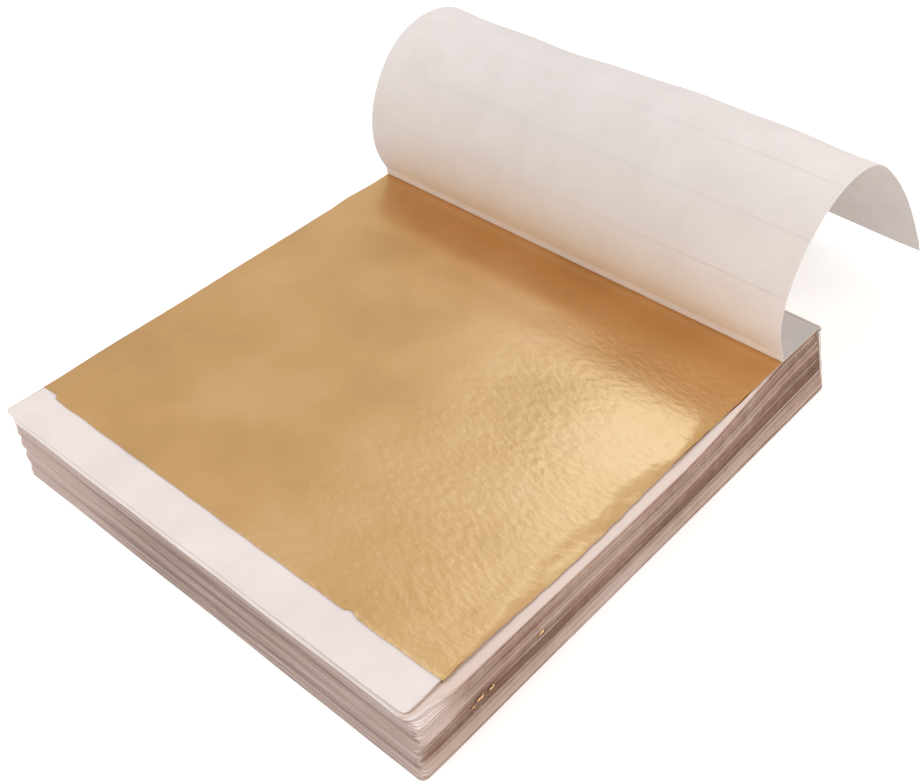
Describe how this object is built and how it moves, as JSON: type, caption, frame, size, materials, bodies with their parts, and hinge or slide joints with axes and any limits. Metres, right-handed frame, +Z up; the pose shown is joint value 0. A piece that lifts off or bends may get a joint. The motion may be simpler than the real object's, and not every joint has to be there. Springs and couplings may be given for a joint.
{
  "type": "gold leaf booklet",
  "caption": "Square pad of soft interleaf papers glued along one edge, with gold leaves between them; the top paper is rolled back off its leaf.",
  "frame": {"origin": "centre of the bottom face of the closed pad, on the surface it lies on", "axes": "+Z up, X along the glued edge, +Y from the bare front strips to the glued edge"},
  "size_m": [0.0848, 0.127, 0.0366],
  "materials": {
    "interleaf_paper": "matt, uncoated",
    "gold_leaf": "satin, fine crinkles",
    "padding_glue": "satin, flexible film"
  },
  "bodies": {
    "root": {"leaves_06_to_17": "gold_leaf", "leaves_18_to_29": "gold_leaf", "leaves_30_to_41": "gold_leaf", "leaves_42_to_53": "gold_leaf", "leaves_54_to_65": "gold_leaf", "leaves_66_to_77": "gold_leaf", "leaves_78_to_89": "gold_leaf", "leaves_90_to_100": "gold_leaf", "pages_06_to_17": "interleaf_paper", "pages_18_to_29": "interleaf_paper", "pages_30_to_41": "interleaf_paper", "pages_42_to_53": "interleaf_paper", "pages_54_to_65": "interleaf_paper", "pages_66_to_77": "interleaf_paper", "pages_78_to_89": "interleaf_paper", "pages_90_to_101": "interleaf_paper", "leaf_05": "gold_leaf", "spine_glue": "padding_glue"},
    "page_05": {"page_05": "interleaf_paper", "leaf_04": "gold_leaf", "glue_05": "padding_glue"},
    "page_04": {"page_04": "interleaf_paper", "leaf_03": "gold_leaf", "glue_04": "padding_glue"},
    "page_03": {"page_03": "interleaf_paper", "leaf_02": "gold_leaf", "glue_03": "padding_glue"},
    "page_02": {"page_02": "interleaf_paper", "glue_02": "padding_glue", "page_01_bound_margin": "interleaf_paper"},
    "leaf_01": {"leaf_01": "gold_leaf"},
    "roll_01": {"page_01_strip_01": "interleaf_paper"},
    "roll_02": {"page_01_strip_02": "interleaf_paper"},
    "roll_03": {"page_01_strip_03": "interleaf_paper"},
    "roll_04": {"page_01_strip_04": "interleaf_paper"},
    "roll_05": {"page_01_strip_05": "interleaf_paper"},
    "roll_06": {"page_01_strip_06": "interleaf_paper"},
    "roll_07": {"page_01_strip_07": "interleaf_paper"}
  },
  "joints": [
    {"name": "page_05_turn", "type": "hinge", "parent": "root", "child": "page_05", "pos_m": [0, 0.04635, 0.01008], "axis": [-1, 0, 0], "range_deg": [0, 30]},
    {"name": "page_04_turn", "type": "hinge", "parent": "page_05", "child": "page_04", "pos_m": [0, 0.04635, 0.01018], "axis": [-1, 0, 0], "range_deg": [0, 30]},
    {"name": "page_03_turn", "type": "hinge", "parent": "page_04", "child": "page_03", "pos_m": [0, 0.04635, 0.01029], "axis": [-1, 0, 0], "range_deg": [0, 30]},
    {"name": "page_02_turn", "type": "hinge", "parent": "page_03", "child": "page_02", "pos_m": [0, 0.04635, 0.01039], "axis": [-1, 0, 0], "range_deg": [0, 30]},
    {"name": "leaf_01_draw", "type": "slide", "parent": "page_02", "child": "leaf_01", "axis": [0, -1, 0], "range_m": [0, 0.09]},
    {"name": "page_01_roll", "type": "hinge", "parent": "page_02", "child": "roll_01", "pos_m": [0, 0.0355, 0.01059], "axis": [1, 0, 0], "range_deg": [-2.39, 66.93], "stiffness_Nm_per_rad": 0.0006783, "springref_deg": 2.17},
    {"name": "page_01_roll_02", "type": "hinge", "parent": "roll_01", "child": "roll_02", "pos_m": [0, 0.03207, 0.01921], "axis": [1, 0, 0], "range_deg": [-1.23, 32.98], "stiffness_Nm_per_rad": 0.0006783, "springref_deg": 2.57},
    {"name": "page_01_roll_03", "type": "hinge", "parent": "roll_02", "child": "roll_03", "pos_m": [0, 0.03398, 0.02829], "axis": [1, 0, 0], "range_deg": [-1.23, 32.98], "stiffness_Nm_per_rad": 0.0006783, "springref_deg": 2.37},
    {"name": "page_01_roll_04", "type": "hinge", "parent": "roll_03", "child": "roll_04", "pos_m": [0, 0.0406, 0.03479], "axis": [1, 0, 0], "range_deg": [-1.23, 32.98], "stiffness_Nm_per_rad": 0.0006783, "springref_deg": 1.79},
    {"name": "page_01_roll_05", "type": "hinge", "parent": "roll_04", "child": "roll_05", "pos_m": [0, 0.04971, 0.03655], "axis": [1, 0, 0], "range_deg": [-1.23, 32.98], "stiffness_Nm_per_rad": 0.0006783, "springref_deg": 1.12},
    {"name": "page_01_roll_06", "type": "hinge", "parent": "roll_05", "child": "roll_06", "pos_m": [0, 0.05828, 0.03297], "axis": [1, 0, 0], "range_deg": [-0.83, 22.03], "stiffness_Nm_per_rad": 0.0003613, "springref_deg": 1.15},
    {"name": "page_01_roll_07", "type": "hinge", "parent": "roll_06", "child": "roll_07", "pos_m": [0, 0.07057, 0.02062], "axis": [1, 0, 0], "range_deg": [-0.44, 11.07], "stiffness_Nm_per_rad": 0.0003613, "springref_deg": 0.24}
  ],
  "couplings": [
    {"joint": "page_01_roll_02", "follows": "page_01_roll", "ratio": 0.49195},
    {"joint": "page_01_roll_03", "follows": "page_01_roll", "ratio": 0.49195},
    {"joint": "page_01_roll_04", "follows": "page_01_roll", "ratio": 0.49195},
    {"joint": "page_01_roll_05", "follows": "page_01_roll", "ratio": 0.49195},
    {"joint": "page_01_roll_06", "follows": "page_01_roll", "ratio": 0.32833},
    {"joint": "page_01_roll_07", "follows": "page_01_roll", "ratio": 0.16471}
  ]
}
